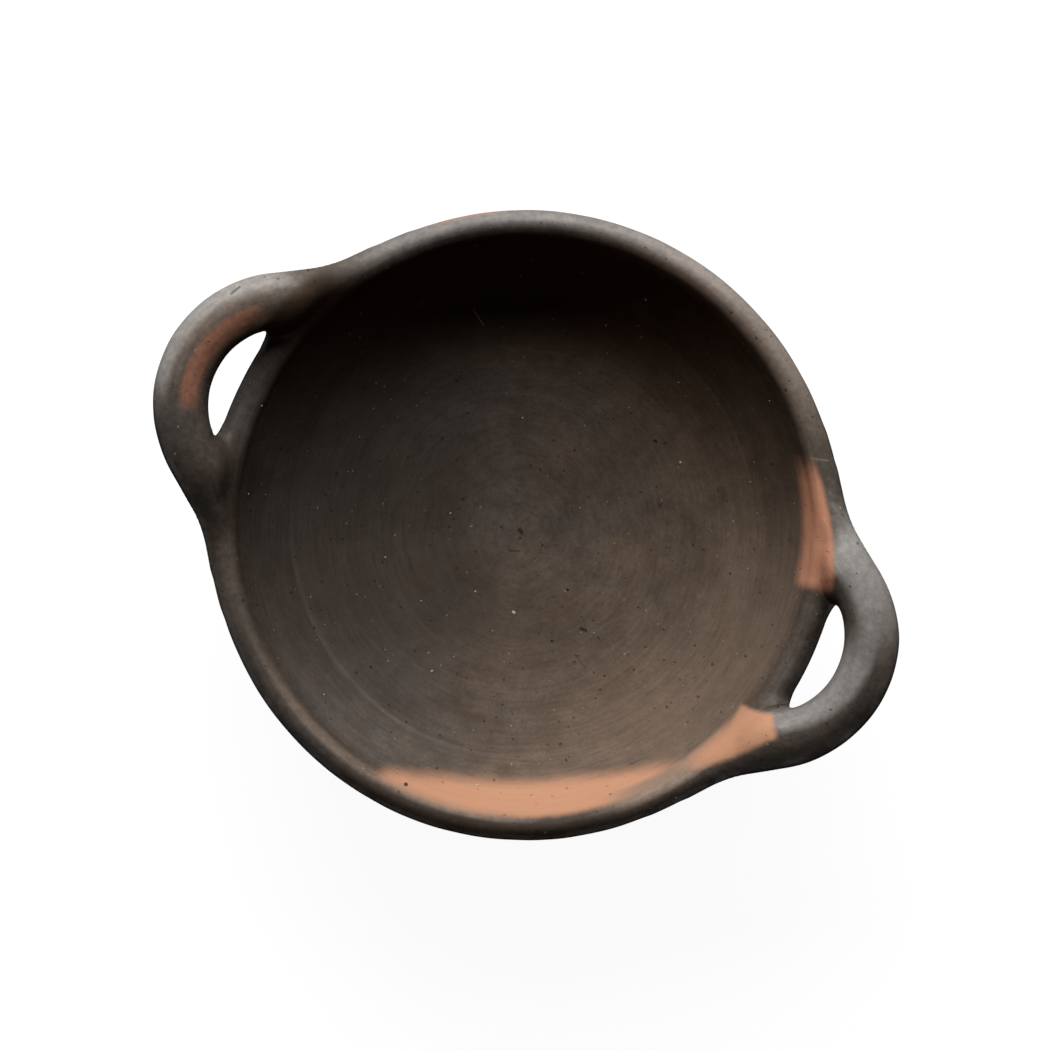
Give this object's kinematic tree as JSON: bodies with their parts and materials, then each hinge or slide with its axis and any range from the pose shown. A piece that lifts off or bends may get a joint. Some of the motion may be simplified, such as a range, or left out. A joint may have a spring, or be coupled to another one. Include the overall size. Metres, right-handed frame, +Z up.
{
  "type": "two-handled pottery bowl",
  "caption": "Round shallow hand-built earthenware bowl with a rounded rim and loop handles laid over it, smoke-fired dark with orange flashes, for cooking and serving.",
  "frame": {"origin": "on the resting surface, under the middle of the bowl and midway between the outer ends of the handles", "axes": "+X from the left handle to the right handle, +Z up out of the bowl's mouth"},
  "size_m": [0.226, 0.18, 0.0695],
  "materials": {
    "smoked_clay": "matte",
    "rubbed_clay": "satin"
  },
  "bodies": {
    "root": {"floor_dish": "smoked_clay", "wall_band": "smoked_clay", "rim_coil": "rubbed_clay", "left_handle": "rubbed_clay", "right_handle": "rubbed_clay", "left_handle_front_root": "rubbed_clay", "left_handle_rear_root": "rubbed_clay", "right_handle_front_root": "rubbed_clay", "right_handle_rear_root": "rubbed_clay"}
  },
  "joints": []
}
